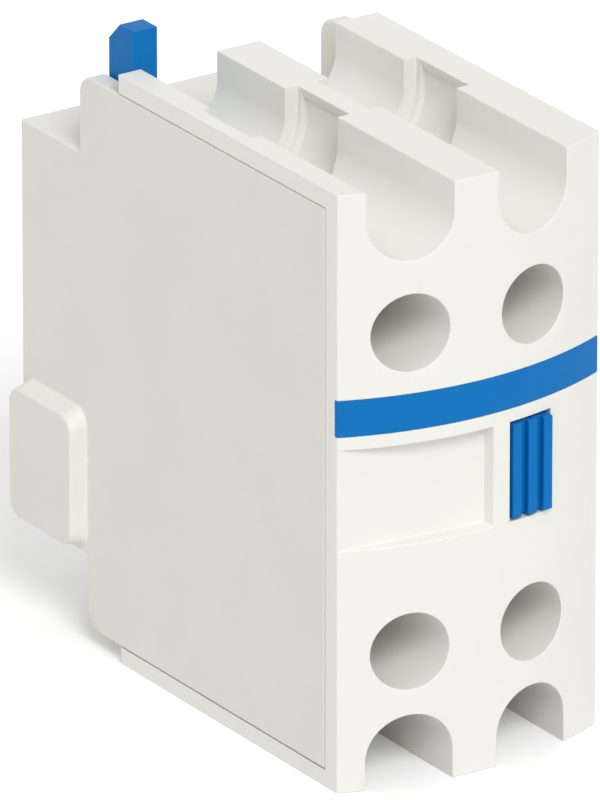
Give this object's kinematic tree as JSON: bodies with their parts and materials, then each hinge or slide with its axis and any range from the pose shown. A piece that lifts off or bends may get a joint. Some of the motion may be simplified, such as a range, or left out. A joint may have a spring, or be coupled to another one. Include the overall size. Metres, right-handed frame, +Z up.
{
  "type": "auxiliary contact block",
  "caption": "Slim block that clips onto a contactor: bowed front, cable channels, screw terminals, sliding contact carrier and latch.",
  "frame": {"origin": "under the middle of the block, on the plane that it stands on", "axes": "+X to the right as seen from the front, +Y from the front to the mounting face, +Z up"},
  "size_m": [0.0264, 0.0454, 0.0508],
  "materials": {
    "housing_plastic": "fine satin moulding",
    "casing_plastic": "fine satin moulding",
    "blue_plastic": "satin moulding",
    "contact_copper": "rolled strip",
    "silver": "brushed",
    "plated_steel": "zinc plated",
    "spring_steel": "drawn wire"
  },
  "bodies": {
    "root": {"front_housing": "housing_plastic", "rear_casing": "casing_plastic", "colour_band": "blue_plastic", "return_spring": "spring_steel", "latch_spring": "spring_steel", "no_fixed_tip_upper": "silver", "no_strip_upper": "contact_copper", "no_fixed_tip_lower": "silver", "no_strip_lower": "contact_copper", "nc_fixed_tip_upper": "silver", "nc_strip_upper": "contact_copper", "nc_fixed_tip_lower": "silver", "nc_strip_lower": "contact_copper"},
    "carrier": {"contact_carrier": "blue_plastic", "no_contact_spring": "spring_steel", "nc_contact_spring": "spring_steel"},
    "latch": {"latch_slide": "blue_plastic"},
    "no_bridge_set": {"no_bridge": "contact_copper", "no_moving_tip_upper": "silver", "no_moving_tip_lower": "silver"},
    "no_upper_clamp": {"no_washer_upper": "plated_steel"},
    "no_upper_screw": {"no_screw_upper": "plated_steel"},
    "no_lower_clamp": {"no_washer_lower": "plated_steel"},
    "no_lower_screw": {"no_screw_lower": "plated_steel"},
    "nc_bridge_set": {"nc_bridge": "contact_copper", "nc_moving_tip_upper": "silver", "nc_moving_tip_lower": "silver"},
    "nc_upper_clamp": {"nc_washer_upper": "plated_steel"},
    "nc_upper_screw": {"nc_screw_upper": "plated_steel"},
    "nc_lower_clamp": {"nc_washer_lower": "plated_steel"},
    "nc_lower_screw": {"nc_screw_lower": "plated_steel"}
  },
  "joints": [
    {"name": "carrier_slide", "type": "slide", "parent": "root", "child": "carrier", "axis": [0, 1, 0], "range_m": [0, 0.004], "stiffness_N_per_m": 250, "springref_m": -0.004, "deforming": ["return_spring"]},
    {"name": "latch_slide_down", "type": "slide", "parent": "root", "child": "latch", "axis": [0, 0, 1], "range_m": [-0.0026, 0], "stiffness_N_per_m": 250, "springref_m": 0.002, "deforming": ["latch_spring"]},
    {"name": "no_bridge_slide", "type": "slide", "parent": "carrier", "child": "no_bridge_set", "axis": [0, 1, 0], "range_m": [-0.001, 0], "deforming": ["no_contact_spring"]},
    {"name": "no_upper_clamp_slide", "type": "slide", "parent": "root", "child": "no_upper_clamp", "axis": [0, 1, 0], "range_m": [0, 0.0027]},
    {"name": "no_upper_screw_turn", "type": "hinge", "parent": "no_upper_clamp", "child": "no_upper_screw", "pos_m": [-0.00625, -0.00885, 0.0365], "axis": [0, 1, 0], "range_deg": [0, 1621]},
    {"name": "no_lower_clamp_slide", "type": "slide", "parent": "root", "child": "no_lower_clamp", "axis": [0, 1, 0], "range_m": [0, 0.0027]},
    {"name": "no_lower_screw_turn", "type": "hinge", "parent": "no_lower_clamp", "child": "no_lower_screw", "pos_m": [-0.00625, -0.00885, 0.0109], "axis": [0, 1, 0], "range_deg": [0, 1621]},
    {"name": "nc_bridge_slide", "type": "slide", "parent": "carrier", "child": "nc_bridge_set", "axis": [0, 1, 0], "range_m": [-0.001, 0], "deforming": ["nc_contact_spring"]},
    {"name": "nc_upper_clamp_slide", "type": "slide", "parent": "root", "child": "nc_upper_clamp", "axis": [0, 1, 0], "range_m": [0, 0.0027]},
    {"name": "nc_upper_screw_turn", "type": "hinge", "parent": "nc_upper_clamp", "child": "nc_upper_screw", "pos_m": [0.00445, -0.00885, 0.0365], "axis": [0, 1, 0], "range_deg": [0, 1621]},
    {"name": "nc_lower_clamp_slide", "type": "slide", "parent": "root", "child": "nc_lower_clamp", "axis": [0, 1, 0], "range_m": [0, 0.0027]},
    {"name": "nc_lower_screw_turn", "type": "hinge", "parent": "nc_lower_clamp", "child": "nc_lower_screw", "pos_m": [0.00445, -0.00885, 0.0109], "axis": [0, 1, 0], "range_deg": [0, 1621]}
  ],
  "couplings": [
    {"joint": "no_bridge_slide", "follows": "carrier_slide", "ratio": -0.25},
    {"joint": "no_upper_screw_turn", "follows": "no_upper_clamp_slide", "rad_per_m": 10472},
    {"joint": "no_lower_screw_turn", "follows": "no_lower_clamp_slide", "rad_per_m": 10472},
    {"joint": "nc_bridge_slide", "follows": "carrier_slide", "ratio": -0.25},
    {"joint": "nc_upper_screw_turn", "follows": "nc_upper_clamp_slide", "rad_per_m": 10472},
    {"joint": "nc_lower_screw_turn", "follows": "nc_lower_clamp_slide", "rad_per_m": 10472}
  ]
}
